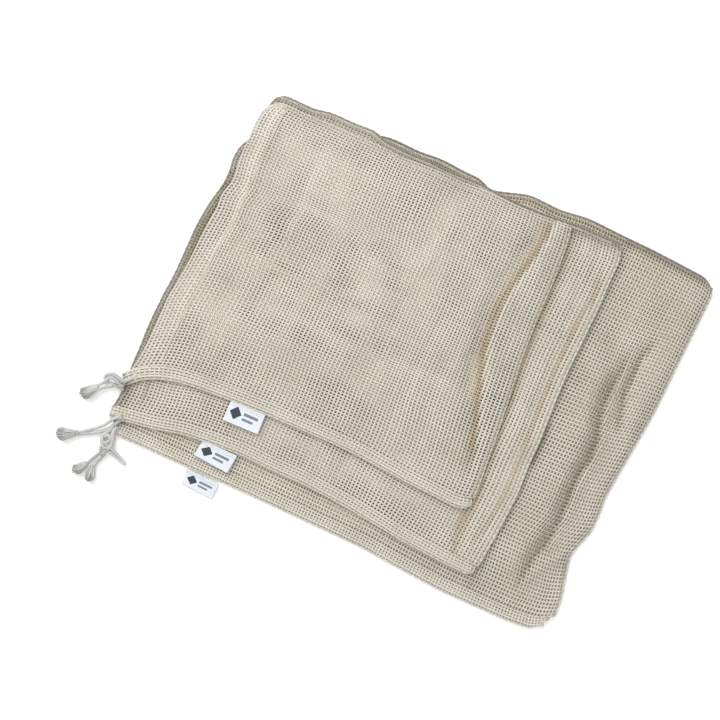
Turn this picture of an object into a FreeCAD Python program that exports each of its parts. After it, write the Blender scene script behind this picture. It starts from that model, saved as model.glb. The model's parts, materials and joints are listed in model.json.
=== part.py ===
import FreeCAD, Part
import os
from FreeCAD import Vector

# Set of three flat, stacked net laundry bags (small on medium on large), in millimetres.
# +X runs along the mouths, away from the corner the cords leave; +Y runs from the
# mouths to the bottom seams; +Z is up, from each bag's back to its front.
# The origin is near the centre of the large bag's underside, on the surface it rests on.

PITCH = 8.0                 # height taken by one flat bag in the stack
GAP = 0.3                   # running gap between pieces that move past each other

# Net panels; their heights, like all those below, are above the bag's base
BACK_T = 1.2
FRONT_T = 1.0
FRONT_Z = 5.9               # underside of the front panel
FRONT_TOP = FRONT_Z + FRONT_T
CASING_CLEARANCE = 0.2      # from the casings to the panels
BOTTOM_CLEARANCE = 0.4      # from the front panel to the bottom seam

# Seams
SEAM_W = 5.0
SEAM_TOP = 7.0              # top of the right and bottom seams
LEFT_SEAM_INSET = 22.0      # the left seam has rolled on to the front face
LEFT_SEAM_T = 0.8
LEFT_SEAM_SHORT = 1.0       # it ends this far before the front panel does

# Casings: the folded hems round the mouth
CASING_W = 14.0
CASING_H = 5.5
CASING_WALL = 0.8           # net thickness round the cord channel
FRONT_CASING_Z = CASING_H + GAP
CUT_OVERRUN = 1.0           # how far the channel cutter passes each end

# Stitching
STITCH_W = 0.8
STITCH_H = 0.2
STITCH_INSET = 2.0          # from the casing's inner edge and from its ends

# Drawstring
CORD_D = 3.6
RUN_OUT = 0.5               # the runs stand out of the casing's left end
RUN_SHORT = 4.0             # and stop short of its right end
TAIL_D = CORD_D - 0.2
TAIL_OFFSET = CORD_D / 2 + 0.05            # of each leg from the tail's centre line
TAIL_Z = (FRONT_CASING_Z + CASING_H) / 2   # midway between the two cord channels
KNOT_H = 6.0
KNOT_FILLET = 2.2
FRAY_START_R = 1.6

# Label
LABEL_L = 38.0
LABEL_D = 20.0
LABEL_T = 0.7
LABEL_Z = 5.0               # underside of the label
LABEL_GAP = 0.2             # from the mouth line
LABEL_STITCH_INSET = 1.5    # from the label's ends
LABEL_STITCH_Y = 3.6        # from the label's mouth edge to the stitch's far side
LABEL_STITCH_W = 0.6

# Per bag: place in the stack, y of the mouth and bottom lines, x of the left and
# right edges at (mouth, bottom), left end of the label, centre line of the cord tail
# from the exit to the end, knot (x, y, radius), frayed ends (start, end) and the
# radius they widen to.
BAGS = {
    "large": dict(
        level=0, mouth=-197.0, bottom=194.0,
        left=(-250.0, -250.0), right=(222.0, 248.0), label_x=-161.0,
        tail=[(-256.0, -192.5), (-256.0, -203.0), (-251.0, -209.0)],
        knot=(-249.0, -215.0, 6.2),
        ends=[((-251.5, -221.0), (-258.0, -238.0)), ((-247.0, -222.5), (-245.0, -243.0))],
        fray_end_r=2.6),
    "medium": dict(
        level=1, mouth=-170.0, bottom=190.0,
        left=(-253.0, -250.0), right=(136.0, 146.0), label_x=-161.0,
        tail=[(-259.0, -165.5), (-264.0, -190.0), (-277.0, -204.0)],
        knot=(-283.0, -208.5, 6.4),
        ends=[((-289.5, -212.0), (-296.0, -216.0))],
        fray_end_r=2.6),
    "small": dict(
        level=2, mouth=-117.0, bottom=185.0,
        left=(-253.0, -246.0), right=(102.0, 88.0), label_x=-150.0,
        tail=[(-258.5, -112.5), (-263.0, -136.0), (-265.5, -141.0)],
        knot=(-267.5, -147.0, 6.0),
        ends=[((-273.0, -153.0), (-287.0, -168.0))],
        fray_end_r=2.9),
}


# ---- helpers ----
def base_z(bag):
    return bag["level"] * PITCH


def panel_start(bag):
    """y where the panels start behind the casings."""
    return bag["mouth"] + CASING_W + CASING_CLEARANCE


def front_end(bag):
    """y where the front panel stops before the bottom seam."""
    return bag["bottom"] - SEAM_W - BOTTOM_CLEARANCE


def box(x0, x1, y0, y1, z, height):
    return Part.makeBox(x1 - x0, y1 - y0, height, Vector(x0, y0, z))


def panel(bag, start_edge, end_edge, y0, y1, z0, z1):
    """Slab between two slanting lines, each a bag edge and its shift in x."""
    def point(edge, y, z=base_z(bag) + z0):
        side, shift = edge
        at_mouth, at_bottom = bag[side]
        along = (y - bag["mouth"]) / (bag["bottom"] - bag["mouth"])
        return Vector(at_mouth + (at_bottom - at_mouth) * along + shift, y, z)

    ring = [point(start_edge, y0), point(end_edge, y0), point(end_edge, y1), point(start_edge, y1)]
    return Part.Face(Part.makePolygon(ring + ring[:1])).extrude(Vector(0, 0, z1 - z0))


def rod(start, end, z, diameter):
    """Level round rod between two plan points."""
    a, b = Vector(*start, z), Vector(*end, z)
    return Part.makeCylinder(diameter / 2, (b - a).Length, a, b - a)


def offset_path(points, offset):
    """Plan polyline moved sideways, to its left when positive."""
    moved = []
    for i, (x, y) in enumerate(points):
        before = points[max(i - 1, 0)]
        after = points[min(i + 1, len(points) - 1)]
        along = Vector(after[0] - before[0], after[1] - before[1], 0)
        along.normalize()
        moved.append((x - along.y * offset, y + along.x * offset))
    return moved


def cord(points, z, diameter):
    """Round cord along a plan polyline; the joints are balls."""
    shape = rod(points[0], points[1], z, diameter)
    for start, end in zip(points[1:], points[2:]):
        ball = Part.makeSphere(diameter / 2, Vector(*start, z))
        shape = shape.fuse(rod(start, end, z, diameter).fuse(ball))
    return shape.removeSplitter()


def save(shape, name):
    if len(shape.Solids) == 1:
        shape = shape.Solids[0]
    assert shape.isValid() and shape.Volume > 0, name
    shape.exportStep("parts/" + name + ".step")


# ---- panels and seams ----
def back_net_panel(bag):
    return panel(bag, ("left", 0), ("right", 0), panel_start(bag), bag["bottom"], 0, BACK_T)


def right_side_seam(bag):
    return panel(bag, ("right", -SEAM_W), ("right", 0),
                 panel_start(bag), front_end(bag), BACK_T, SEAM_TOP)


def bottom_seam(bag):
    return box(bag["left"][1], bag["right"][1], bag["bottom"] - SEAM_W, bag["bottom"],
               base_z(bag) + BACK_T, SEAM_TOP - BACK_T)


def front_net_panel(bag):
    return panel(bag, ("left", 0), ("right", -SEAM_W - GAP),
                 panel_start(bag), front_end(bag), FRONT_Z, FRONT_TOP)


def left_side_seam(bag):
    return panel(bag, ("left", LEFT_SEAM_INSET), ("left", LEFT_SEAM_INSET + SEAM_W),
                 panel_start(bag), front_end(bag) - LEFT_SEAM_SHORT,
                 FRONT_TOP, FRONT_TOP + LEFT_SEAM_T)


# ---- casings: flat tubes open at both ends; the back one lies under the front one ----
def back_casing(bag, casing_z=0):
    x0, x1, y, z = bag["left"][0], bag["right"][0], bag["mouth"], base_z(bag) + casing_z
    outer = box(x0, x1, y, y + CASING_W, z, CASING_H)
    channel = box(x0 - CUT_OVERRUN, x1 + CUT_OVERRUN,
                  y + CASING_WALL, y + CASING_W - CASING_WALL,
                  z + CASING_WALL, CASING_H - 2 * CASING_WALL)
    return outer.cut(channel)


def front_casing(bag):
    return back_casing(bag, FRONT_CASING_Z)


def back_casing_stitching(bag, casing_z=0):
    y = bag["mouth"] + CASING_W - STITCH_INSET
    return box(bag["left"][0] + STITCH_INSET, bag["right"][0] - STITCH_INSET,
               y, y + STITCH_W, base_z(bag) + casing_z + CASING_H, STITCH_H)


def front_casing_stitching(bag):
    return back_casing_stitching(bag, FRONT_CASING_Z)


# ---- drawstring: a run in each casing, then the doubled tail, its knot and ends ----
def drawstring_back_run(bag, casing_z=0):
    y = bag["mouth"] + CASING_W / 2
    return rod((bag["left"][0] - RUN_OUT, y), (bag["right"][0] - RUN_SHORT, y),
               base_z(bag) + casing_z + CASING_H / 2, CORD_D)


def drawstring_front_run(bag):
    return drawstring_back_run(bag, FRONT_CASING_Z)


def drawstring_tail(bag):
    return Part.makeCompound([
        cord(offset_path(bag["tail"], offset), base_z(bag) + TAIL_Z, TAIL_D)
        for offset in (-TAIL_OFFSET, TAIL_OFFSET)])


def drawstring_knot(bag):
    x, y, radius = bag["knot"]
    bottom = Vector(x, y, base_z(bag) + TAIL_Z - KNOT_H / 2)
    knot = Part.makeCylinder(radius, KNOT_H, bottom)
    rims = [edge for edge in knot.Edges if isinstance(edge.Curve, Part.Circle)]
    knot = knot.makeFillet(KNOT_FILLET, rims)
    for leg in drawstring_tail(bag).Solids:
        knot = knot.cut(leg)
    return knot


def drawstring_frayed_ends(bag):
    """Cones that widen away from the knot."""
    knot = drawstring_knot(bag)
    z = base_z(bag) + TAIL_Z
    tufts = []
    for start, end in bag["ends"]:
        a, b = Vector(*start, z), Vector(*end, z)
        cone = Part.makeCone(FRAY_START_R, bag["fray_end_r"], (b - a).Length, a, b - a)
        # The knot may split the cone; only the largest piece is kept
        tufts.append(max(cone.cut(knot).Solids, key=lambda solid: solid.Volume))
    return Part.makeCompound(tufts)


# ---- label at the mouth edge ----
def label(bag):
    x, y = bag["label_x"], bag["mouth"] - LABEL_GAP
    return box(x, x + LABEL_L, y - LABEL_D, y, base_z(bag) + LABEL_Z, LABEL_T)


def label_stitching(bag):
    x, y = bag["label_x"], bag["mouth"] - LABEL_GAP - LABEL_STITCH_Y
    return box(x + LABEL_STITCH_INSET, x + LABEL_L - LABEL_STITCH_INSET,
               y, y + LABEL_STITCH_W, base_z(bag) + LABEL_Z + LABEL_T, STITCH_H)


# Each function's name is also the last part of its file's name
PIECES = (
    back_net_panel, right_side_seam, bottom_seam, front_net_panel, left_side_seam,
    back_casing, front_casing, back_casing_stitching, front_casing_stitching,
    drawstring_back_run, drawstring_front_run, drawstring_tail, drawstring_knot,
    drawstring_frayed_ends, label, label_stitching,
)

os.makedirs("parts", exist_ok=True)
for bag_name, bag in BAGS.items():
    for piece in PIECES:
        save(piece(bag), bag_name + "_" + piece.__name__)
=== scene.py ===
"""Three net laundry bags lying flat on one another: large below, medium, small on top.

All sizes are millimetres until they are stored in a mesh. Each bag's mouth runs along x on its
-y side, its bottom seam lies on its +y side, and z is up. "Left" is -x, where the cords come out,
and "right" is +x. A bag's front panel faces up and its back panel lies under it.
"""
import bpy
import json
import math
import numpy as np
from mathutils import Matrix, Vector
from types import SimpleNamespace

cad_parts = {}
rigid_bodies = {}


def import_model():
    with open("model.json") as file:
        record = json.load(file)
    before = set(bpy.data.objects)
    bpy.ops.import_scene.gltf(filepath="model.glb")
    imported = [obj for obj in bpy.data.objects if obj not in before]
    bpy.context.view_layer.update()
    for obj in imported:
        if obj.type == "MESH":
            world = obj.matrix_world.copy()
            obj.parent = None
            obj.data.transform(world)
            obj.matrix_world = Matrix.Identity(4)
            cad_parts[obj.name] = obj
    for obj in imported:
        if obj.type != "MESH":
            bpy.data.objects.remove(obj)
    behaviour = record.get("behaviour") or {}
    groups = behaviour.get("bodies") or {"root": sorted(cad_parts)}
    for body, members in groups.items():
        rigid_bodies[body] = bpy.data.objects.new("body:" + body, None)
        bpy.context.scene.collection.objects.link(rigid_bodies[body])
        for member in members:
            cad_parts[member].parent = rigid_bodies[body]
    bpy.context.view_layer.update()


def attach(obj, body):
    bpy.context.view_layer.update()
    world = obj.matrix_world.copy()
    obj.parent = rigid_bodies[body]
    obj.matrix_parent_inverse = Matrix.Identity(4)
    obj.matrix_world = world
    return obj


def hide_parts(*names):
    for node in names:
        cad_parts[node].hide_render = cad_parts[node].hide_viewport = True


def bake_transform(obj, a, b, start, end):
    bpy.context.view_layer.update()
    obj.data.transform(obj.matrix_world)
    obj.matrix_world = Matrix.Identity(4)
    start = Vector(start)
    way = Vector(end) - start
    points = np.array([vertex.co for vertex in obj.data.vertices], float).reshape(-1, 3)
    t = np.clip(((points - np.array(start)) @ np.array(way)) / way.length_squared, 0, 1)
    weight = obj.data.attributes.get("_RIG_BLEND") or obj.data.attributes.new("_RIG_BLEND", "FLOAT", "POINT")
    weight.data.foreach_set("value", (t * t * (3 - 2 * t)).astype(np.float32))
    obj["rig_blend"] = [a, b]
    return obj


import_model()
MM = 0.001
UP = np.array([0, 0, 1.0])
ply_random = np.random.RandomState(11)


# ------------------------------------------------------------------ curves and noise
def smooth(share):
    share = np.clip(share, 0.0, 1.0)
    return share * share * (3 - 2 * share)


def smooth_curve(points, soft):
    """A function through (position, value) points, blurred over about `soft` mm."""
    position, value = np.array(sorted(points), float).T
    margin = 40
    grid = np.arange(position[0] - margin, position[-1] + margin + 1, 1.0)
    raw = np.interp(grid, position, value)
    reach = 2 * soft
    kernel = np.exp(-np.linspace(-2, 2, 2 * reach + 1) ** 2)
    kernel /= kernel.sum()
    curve = np.convolve(np.pad(raw, reach, mode="edge"), kernel, mode="valid")
    # the blur may not move the two ends
    ends = [raw[k] - curve[k] for k in (margin, -margin - 1)]
    curve = curve + np.interp(grid, [position[0], position[-1]], ends)
    return lambda at: np.interp(at, grid, curve)


def value_noise(shape, scale, seed):
    """Smooth noise in -1..1 on a grid; scale is the feature size in rows and columns."""
    rows, columns = (np.linspace(0, (n - 1) / size, n) for n, size in zip(shape, scale))
    lattice_shape = [int(n / size) + 3 for n, size in zip(shape, scale)]
    lattice = np.random.RandomState(seed).uniform(-1, 1, lattice_shape)
    row, column = rows.astype(int), columns.astype(int)
    down, across = smooth(rows - row)[:, None], smooth(columns - column)[None, :]

    def lattice_row(j):
        return (lattice[np.ix_(j, column)] * (1 - across)
                + lattice[np.ix_(j, column + 1)] * across)

    return lattice_row(row) * (1 - down) + lattice_row(row + 1) * down


# ------------------------------------------------------------------ the three bags
HEM = 14.0  # depth of the cord sleeve along the mouth
# Yarn spacing and yarn width, each along the mouth and in depth
UPPER_WEAVE = dict(cell=(3.70, 3.05), strand=(2.12, 1.82))

# Outlines as the bags lie: mouth and bottom are (x, y), right and left are (y, x).
# corners: (right side?, bottom end?, radius) of the corners rounded off in plan.
# label: sewn edge left and right, free edge right and left, as (x, y).
# gap: clearance over what lies below. loft: rise of the front panel. right_soft: length over
# which the front sinks to the right edge. pull: how far the cord can be drawn.
# rim grey, seam dim: painted shade, a grey darkening at the left and bottom rims and on the left, right and
# bottom seams.
# exit: where the cord leaves the sleeve in plan. tail_z: height of the drawn cord outside.
LARGE = SimpleNamespace(
    name="large", cell=(3.12, 3.80), strand=(1.70, 1.95), seed=31,
    mouth=smooth_curve([
        (-262, -196), (-247, -192), (-202, -192), (-159, -192), (-105, -192), (-40, -193),
        (24, -194), (69, -198), (112, -201), (143, -201), (180, -201), (205, -199), (219, -193),
        (232, -185)], 7),
    right=smooth_curve([
        (-193, 219), (-180, 222), (-160, 222), (-141, 218), (-117, 214), (-101, 219), (-89, 224),
        (-70, 225), (-52, 224), (-15, 229), (46, 237), (120, 242), (192, 247)], 6),
    bottom=smooth_curve([
        (-262, 190), (-240, 191), (-216, 191.5), (-171, 193), (-129, 195), (-119, 198.5),
        (-105, 198), (-82, 197), (-64, 198.7), (-52, 198.4), (-32, 196.2), (-17, 196.3),
        (-10, 194.4), (-3, 188.5), (9, 191.3), (39, 200.8), (73, 198.6), (104, 202), (138, 200),
        (177, 198), (247, 192), (260, 190)], 7),
    left=smooth_curve([
        (-196, -247), (-170, -249), (-60, -250), (60, -251), (84, -251.5), (92, -253),
        (101, -250), (110, -247), (190, -244)], 5),
    corners=((0, 1, 9), (1, 1, 18), (1, 0, 17)),
    gap=0.9, loft=1.9, right_soft=5.0, pull=190.0,
    rim_grey_shade=1.0, seam_dim_shade=(0.9, 0.55, 0.15), right_seam_shade=0.1,
    label=[(-162, -193.5), (-127, -194.5), (-128, -210.0), (-161, -208.5)],
    label_drop=-1.3, label_phase=2.0, exit=(-247, -188), tail_z=3.2)
MEDIUM = SimpleNamespace(
    name="medium", **UPPER_WEAVE, seed=47,
    mouth=smooth_curve([
        (-268, -182), (-255, -178), (-245, -177), (-231, -175), (-211, -172), (-182, -165),
        (-151, -162), (-119, -160), (-86, -161), (-54, -161), (-10, -164), (35, -169),
        (57, -172), (100, -175), (133, -176), (145, -174)], 7),
    right=smooth_curve([
        (-175, 133), (-156, 136), (-137, 138), (-112, 141), (-85, 143), (-54, 142), (-27, 143),
        (16, 142), (46, 142), (82, 144), (122, 146), (155, 146), (170, 147), (190, 143)], 6),
    bottom=smooth_curve([
        (-262, 192), (-242, 193.2), (-232, 195.9), (-217, 194.9), (-199, 193.9), (-184, 198.2),
        (-170, 197.8), (-152, 197.1), (-132, 198.3), (-123, 192.5), (-114, 191.9), (-93, 190.6),
        (-66, 190.8), (-48, 189.7), (-13, 190.3), (10, 187.9), (33, 186), (72, 187), (100, 190),
        (124, 189), (143, 190), (160, 190)], 7),
    left=smooth_curve([
        (-177, -255), (-160, -254), (-144, -253), (-125, -255.7), (-114, -256.2), (-100, -256.7),
        (-85, -258.3), (-69, -258.9), (-55, -258.5), (-41, -258.5), (-29, -257.5), (-17, -257.3),
        (5, -257.9), (17, -258.2), (30, -258.7), (43, -258.2), (61, -256.6), (79, -252.6),
        (86, -251.1), (97, -251.4), (102, -252.1), (113, -254.9), (128, -253.8), (133, -249.3),
        (150, -245), (190, -242)], 5),
    corners=((0, 1, 10), (1, 1, 6), (1, 0, 7)),
    gap=0.65, loft=1.2, right_soft=7.0, pull=160.0,
    rim_grey_shade=0.9, seam_dim_shade=(0.3, 0.0, 0.22), right_seam_shade=0.05,
    label=[(-159, -161.5), (-122, -161.5), (-124, -181.0), (-161.5, -178.0)],
    label_drop=-0.7, label_phase=2.0, exit=(-248, -178.5), tail_z=6.5)
SMALL = SimpleNamespace(
    name="small", **UPPER_WEAVE, seed=73,
    mouth=smooth_curve([
        (-262, -150), (-255, -142), (-245, -133), (-232, -126), (-218, -121), (-203, -118),
        (-182, -116), (-161, -115), (-140, -114), (-108, -113), (-75, -113), (-44, -113),
        (-11, -114), (22, -117), (44, -119), (65, -120), (94, -122), (102, -119), (112, -116)], 7),
    right=smooth_curve([
        (-119, 105), (-91, 105.5), (-69, 103.8), (-41, 102), (2, 99), (37, 95.5), (62, 94.6),
        (84, 93.8), (107, 94.1), (128, 94), (145, 93.3), (163, 92.5), (187, 89)], 6),
    bottom=smooth_curve([
        (-262, 184), (-241, 185.5), (-225, 184.7), (-200, 183.4), (-175, 183.6), (-147, 182.8),
        (-133, 183.3), (-110, 183.3), (-98, 181.2), (-64, 183.3), (-27, 182.4), (-5, 183.6),
        (22, 182), (54, 182), (88, 185), (100, 187)], 7),
    left=smooth_curve([
        (-142, -256), (-128, -252.6), (-115, -250.2), (-99, -249.5), (-80, -249.6), (-62, -250.3),
        (-46, -251.4), (-30, -249.3), (-16, -248.2), (8, -247.3), (20, -247.6), (37, -246.9),
        (57, -245.4), (73, -247.2), (81, -244.8), (90, -242.4), (99, -243.6), (108, -245.3),
        (120, -247), (142, -247.6), (153, -249.2), (163, -249.1), (173, -248), (182, -244.6)], 5),
    corners=((0, 1, 17), (1, 1, 3.5), (1, 0, 6)),
    gap=0.65, loft=1.1, right_soft=8.0, pull=140.0,
    rim_grey_shade=0.12, seam_dim_shade=(0.0, 0.0, 0.10), right_seam_shade=0.05,
    label=[(-150, -113.5), (-113, -114.0), (-112, -134.5), (-149.5, -135.5)],
    label_drop=-0.5, label_phase=1.0, exit=(-251, -139.5), tail_z=9.0)
BAGS = (LARGE, MEDIUM, SMALL)
for bag, above in zip(BAGS, (MEDIUM, SMALL, None)):
    bag.above = above
    bag.mouth_end = float(bag.right(bag.mouth(0)))


# ------------------------------------------------------------------ shapes the cloth is made of
# Each function returns a field of x and y. Paths are (x, y) points.
def fade(position, span, soft):
    return smooth((position - span[0]) / soft + 0.5) * smooth((span[1] - position) / soft + 0.5)


def path_x(path, y):
    return np.interp(y, *zip(*sorted((at_y, at_x) for at_x, at_y in path)))


def bell(offset, height, before, after):
    width = np.where(offset < 0, before, before if after is None else after)
    return height * np.exp(-(offset / width) ** 2)


def ridge_y(path, height, left, right=None, shift=0.0, span=(-400, 400), soft=18.0):
    """A ridge (a valley if height < 0) along y; left and right are its widths either side."""
    return lambda x, y: (bell(x - (path_x(path, y) + shift), height, left, right)
                         * fade(y, span, soft))


def ridge_x(path, height, near, far=None, shift=0.0, span=(-400, 400), soft=18.0):
    """The same along x; near is its width on the -y side."""
    return lambda x, y: (bell(y - (np.interp(x, *zip(*sorted(path))) + shift), height, near, far)
                         * fade(x, span, soft))


def lipped_fold(path, depth, left, lip, rise, right, span, soft):
    """Cloth that dips towards a path along y and rises steeply into a rolled lip beyond it."""
    def field(x, y):
        offset = x - path_x(path, y)
        slope = -depth + (depth + lip) * smooth(offset / rise)
        beyond = np.where(offset > rise, lip * np.exp(-((offset - rise) / right) ** 2), slope)
        dip = -depth * np.exp(-(offset / left) ** 2)
        return np.where(offset < 0, dip, beyond) * fade(y, span, soft)
    return field


def bump(at_x, at_y, height, size_x, size_y):
    return lambda x, y: height * np.exp(-((x - at_x) / size_x) ** 2 - ((y - at_y) / size_y) ** 2)


def ramp_x(height, start, length):
    return lambda x, y: height * smooth((x - start) / length)


def strongest(fields, x, y):
    amount = np.zeros_like(x)
    for field in fields:
        amount = np.maximum(amount, field(x, y))
    return amount


SMALL_VALLEY = [
    (72, 190), (70, 180), (69, 161), (66, 138), (59, 110), (55, 86), (55, 64), (56, 42),
    (60.5, 22), (66, 3), (72, -16), (81, -44), (88, -70), (90, -94), (90, -110)]
SMALL_EDGE = [
    (89, 187), (93.3, 145), (94, 107), (94.6, 62), (95.3, 37), (99, 2), (102, -41), (105, -91),
    (105, -119)]
SMALL_CREASES = (
    [(-16, 167), (-19, 136), (-27, 93), (-38, 55), (-50, 21), (-60, -16)],
    [(3, 73), (-3, 37), (-6, -30), (-9, -84)],
    [(41, 46), (37, 6), (37, -32), (40, -73), (38, -106)])
# the close, light band near the left edge
SIDE_BAND = [
    (-231.4, 181), (-234.6, 153), (-232.6, 112), (-226, 69), (-224, 36), (-231, 14),
    (-235.4, -2), (-236.8, -26), (-235, -53), (-233.4, -92)]
MEDIUM_VALLEY = [
    (136, 151), (138, 124), (133, 99), (132, 77), (132, 44), (132, 11), (133, -26), (134, -46),
    (134, -93), (130, -118), (122, -150)]
MEDIUM_CORNER = [(105, -113), (104, -134), (107, -154), (115, -166)]
LARGE_VALLEY = [
    (192, 110), (191, 73), (188, 53), (188, 21), (194, -3), (195, -24), (191, -40), (190, -64),
    (190, -90), (188, -112), (180, -137), (177, -159), (174, -181)]
LARGE_SIDE_FOLD = [(210, 112), (204, 88), (202, 54), (210, 13)]

# relief: heights in mm that add up on the front panel
LARGE.relief = [
    ramp_x(0.9, -40, 200),
    ramp_x(2.6, 120, 60),
    lipped_fold(LARGE_VALLEY, depth=5.0, left=8, lip=3.2, rise=2.4, right=7,
                span=(-150, 78), soft=40),
    ridge_y(LARGE_VALLEY, 3.0, 12, 9, shift=-17, span=(-140, 70), soft=60),
    lipped_fold(LARGE_SIDE_FOLD, depth=3.8, left=8, lip=1.6, rise=4, right=8,
                span=(14, 106), soft=30),
    ridge_y([(222, 150), (216, 110), (216, 60), (222, 20)], 2.2, 8, 10, span=(10, 140), soft=40),
    # the loose right corner by the mouth: a flap edge crosses it and the lobe beyond lies lower
    ridge_y([(177, -186), (180, -160), (184, -146), (193, -133), (204, -121), (215, -108),
             (225, -89)], 3.2, 4, 9, span=(-175, -98), soft=16),
    ridge_y([(212, -120), (211, -140), (209, -165)], -3.0, 7, 5, span=(-172, -112), soft=16),
    ridge_x([(150, -178), (190, -176), (215, -176)], -1.8, 5, 6, span=(150, 212)),
    bump(172, 92, -2.2, 14, 22),
    bump(160, 20, 1.6, 18, 50),
    bump(160, -60, 1.2, 14, 40),
    ridge_x([(-207, -181), (-105, -170), (-49, -173), (5, -175), (60, -180), (105, -184),
             (167, -184)], -1.5, 5, 8, shift=-2, span=(-230, 170)),
    ridge_x([(80, -60), (150, -38), (200, -30)], 0.8, 6, 9, span=(100, 185)),
]
MEDIUM.relief = [
    ramp_x(0.4, 40, 60),
    lipped_fold(MEDIUM_VALLEY, depth=3.4, left=9, lip=1.8, rise=3.0, right=8,
                span=(-140, 158), soft=40),
    ridge_y(MEDIUM_CORNER, -2.6, 7, 4.0, span=(-168, -90)),
    ridge_y([(118, -120), (117, -140), (122, -160)], 1.6, 4, 5, span=(-168, -110), soft=16),
    ridge_y([(96, 178), (103, 152), (122, 127), (124, 90)], -2.2, 7, 5, span=(85, 182), soft=26),
    ridge_y([(112, 180), (116, 150), (116, 60), (117, -40)], 2.0, 7, 7, span=(-60, 185), soft=40),
    ridge_y([(-20, -120), (-14, -150)], -1.0, 8, 5, span=(-160, -110)),
    ridge_y([(40, -120), (30, -150)], -0.9, 6, 6, span=(-165, -110)),
    bump(-60, -138, -1.3, 22, 10),
    bump(5, -140, 1.0, 16, 10),
    bump(-150, -140, 0.8, 30, 10),
    ridge_x([(-197, -151), (-152, -145), (-114, -143), (-59, -145), (-3, -149), (52, -155),
             (96, -160)], -1.4, 5, 8, span=(-215, 110)),
    ridge_y([(-216, -110), (-219, -150)], -1.2, 7, 7, span=(-160, -90)),
]
small_fold = lipped_fold(SMALL_VALLEY, depth=6.2, left=14, lip=2.6, rise=3.0, right=14,
                         span=(-64, 186), soft=22)
SMALL.relief = [
    ramp_x(1.6, -40, 110),
    lambda x, y: small_fold(x, y) * smooth((y + 90) / 70),
    # a pinched ridge that runs just inside the right edge
    ridge_y(SMALL_EDGE, 1.6, 2.4, 2.6, shift=-5.0, span=(-100, 182), soft=30),
    ridge_y(SMALL_VALLEY, 3.0, 28, 18, shift=-25, span=(-80, 178), soft=60),
    # places where the net stands clear of what lies under it
    *[bump(*row) for row in (
        (-210, -5, 2.6, 12, 22), (-216, -66, 2.4, 9, 12), (-224, 142, 1.8, 5, 22),
        (-222, 80, 1.8, 6, 30), (-150, 172, 1.6, 30, 8), (-92, 172, 1.6, 26, 7),
        (-60, -92, 1.4, 60, 8), (20, -88, 1.6, 40, 10), (78, 120, 1.6, 6, 30),
        (50, 160, 1.4, 30, 12), (-20, 20, 0.9, 20, 30), (-120, 60, 0.8, 30, 16))],
    ridge_y(SMALL_VALLEY, -1.6, 7, 4, span=(-112, -60), soft=20),
    ridge_y([(98, -110), (97, -60), (92, -20)], 2.0, 5, 6, span=(-112, 10), soft=30),
    ridge_y([(-214, 178), (-214, 133), (-210, 90), (-214, 40)], -1.7, 5, 9, span=(40, 185),
            soft=40),
    ridge_y([(-210, 60), (-212, -40)], -1.0, 10, 16, span=(-70, 60), soft=50),
    # three creases, each a ridge with a valley beside it
    ridge_y(SMALL_CREASES[0], 1.2, 6, 5, span=(-10, 160), soft=40),
    ridge_y(SMALL_CREASES[0], -1.2, 6, 6, shift=-10, span=(-10, 160), soft=40),
    ridge_y(SMALL_CREASES[1], 0.9, 5, 5, span=(-80, 70), soft=50),
    ridge_y(SMALL_CREASES[1], -0.8, 5, 5, shift=8, span=(-90, 70), soft=50),
    ridge_y(SMALL_CREASES[2], 1.3, 5, 6, span=(-100, 40), soft=50),
    ridge_y(SMALL_CREASES[2], -1.1, 6, 5, shift=-9, span=(-100, 40), soft=50),
    ridge_y([(70, -20), (66, -60), (60, -104)], -1.2, 5, 4, span=(-104, -20), soft=30),
    ridge_y([(-60, -20), (-66, -60), (-74, -95)], 0.7, 6, 7, span=(-90, -20), soft=30),
    bump(-99, 13, 2.2, 12, 12),
    bump(-92, -6, -1.5, 16, 8),
    bump(-112, 40, -0.9, 14, 10),
    ridge_x([(-92, 78), (-66, 70), (-34, 84), (-26, 110)], -1.0, 8, 6, span=(-95, -20), soft=24),
    ridge_x([(-130, 110), (-70, 118), (-30, 112)], 0.9, 10, 10, span=(-130, -20), soft=30),
    ridge_x([(-204, -104), (-173, -100), (-134, -99), (-81, -99), (-18, -99), (24, -101),
             (59, -106)], -1.6, 5, 10, shift=2, span=(-225, 70), soft=30),
]

# shade: painted shade, how much darker and browner the net is painted in its folds, along its right edge and
# beside the edges of the bag above; ramps add a faint even darkening towards the right
LARGE.shade = [
    ridge_y(LARGE_VALLEY, 0.7, 3.5, 2.6, span=(-160, 80), soft=40),
    ridge_y(LARGE_VALLEY, 0.25, 10, 3, span=(-150, 76), soft=40),
    ridge_y(LARGE_SIDE_FOLD, 0.6, 3, 1.6, span=(14, 106), soft=30),
    # painted shadow beside the medium bag's right edge
    ridge_y([(148, 170), (146, 122), (144, 82), (142, 16), (143, -54), (141, -112), (136, -156),
             (133, -178)], 0.3, 2, 4.0, shift=1.5),
    ridge_y([(143, -10), (143, -30), (142, -52)], 0.9, 3, 4.0, shift=1.8, span=(-56, -8), soft=14),
]
MEDIUM.shade = [
    ridge_y(MEDIUM_VALLEY, 0.6, 5, 2.0, span=(-140, 158), soft=40),
    # painted shadow beside the small bag's right edge
    ridge_y(SMALL_EDGE, 0.55, 2, 6.5, shift=1.0),
    ridge_y(MEDIUM_CORNER, 0.6, 5, 2, span=(-166, -90)),
    ramp_x(0.07, 96, 6),
    # painted shade on the strip that shows beside the small bag's left edge
    lambda x, y: (np.exp(-((x - MEDIUM.left(y) - 8.5) / 4.0) ** 2)
                  * smooth((y + 40) / 30) * smooth((100 - y) / 24)),
]
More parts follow.
